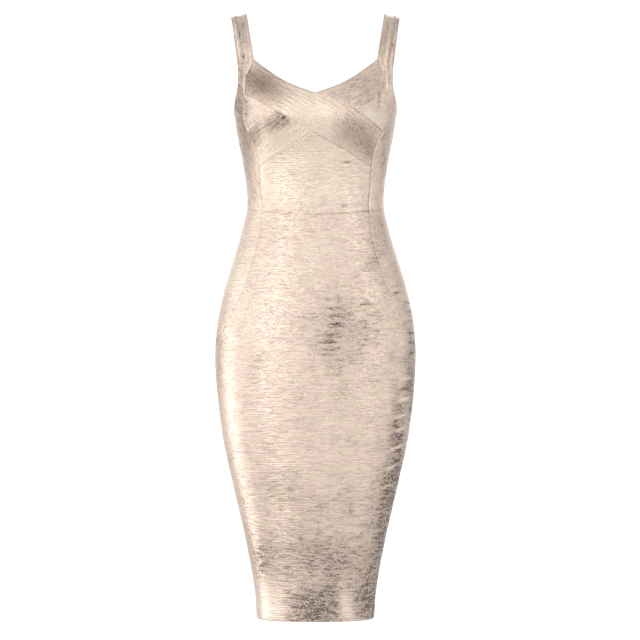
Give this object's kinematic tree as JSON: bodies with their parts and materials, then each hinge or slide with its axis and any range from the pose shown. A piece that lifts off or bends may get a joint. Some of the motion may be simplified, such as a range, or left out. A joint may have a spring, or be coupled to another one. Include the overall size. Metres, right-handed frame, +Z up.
{
  "type": "bodycon dress",
  "caption": "Sleeveless fitted midi dress in foiled stretch knit, held out in its worn shape, with wide straps and crossed bust bands.",
  "frame": {"origin": "midway between the straps, at the level where they rest on the wearer's shoulders", "axes": "+Z up the dress, -Y out of its front, +X to the wearer's left"},
  "size_m": [0.34, 0.2405, 1.0249],
  "materials": {
    "foiled_knit": "champagne gold foil, crinkled, on a heavy stretch knit"
  },
  "bodies": {
    "root": {"band_over": "foiled_knit", "band_under_upper": "foiled_knit", "band_under_lower": "foiled_knit", "side_cup_left": "foiled_knit", "side_cup_right": "foiled_knit", "midriff_front": "foiled_knit", "side_front_left": "foiled_knit", "side_front_right": "foiled_knit", "strap_left": "foiled_knit", "strap_right": "foiled_knit", "back_bodice_left": "foiled_knit", "back_bodice_right": "foiled_knit", "skirt_front": "foiled_knit", "hip_side_left": "foiled_knit", "hip_side_right": "foiled_knit", "back_skirt_left": "foiled_knit", "back_skirt_right": "foiled_knit"}
  },
  "joints": []
}
